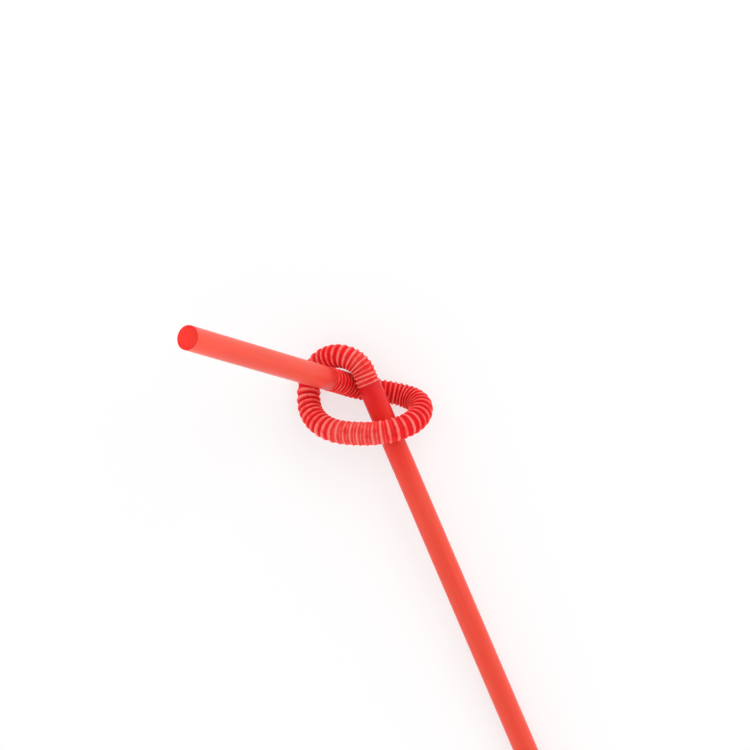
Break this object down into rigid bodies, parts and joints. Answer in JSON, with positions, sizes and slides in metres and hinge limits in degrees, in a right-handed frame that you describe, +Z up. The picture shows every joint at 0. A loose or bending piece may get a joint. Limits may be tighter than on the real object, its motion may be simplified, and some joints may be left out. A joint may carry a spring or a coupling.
{
  "type": "flexible drinking straw",
  "caption": "Thin plastic drinking straw with a ringed bellows tied in a loose overhand knot between a long stem and a short mouth piece.",
  "frame": {"origin": "on the floor below the middle of the straw's box, as it lies at rest", "axes": "+Y from the stem's cut end towards the knot, along the box's longest side; +Z up, the box's shortest side, with the mouth piece rising from the knot; the picture looks down along -Z"},
  "size_m": [0.0982, 0.1334, 0.0656],
  "materials": {
    "straw_plastic": "satin, slightly translucent"
  },
  "bodies": {
    "root": {"straw": "straw_plastic"}
  },
  "joints": []
}
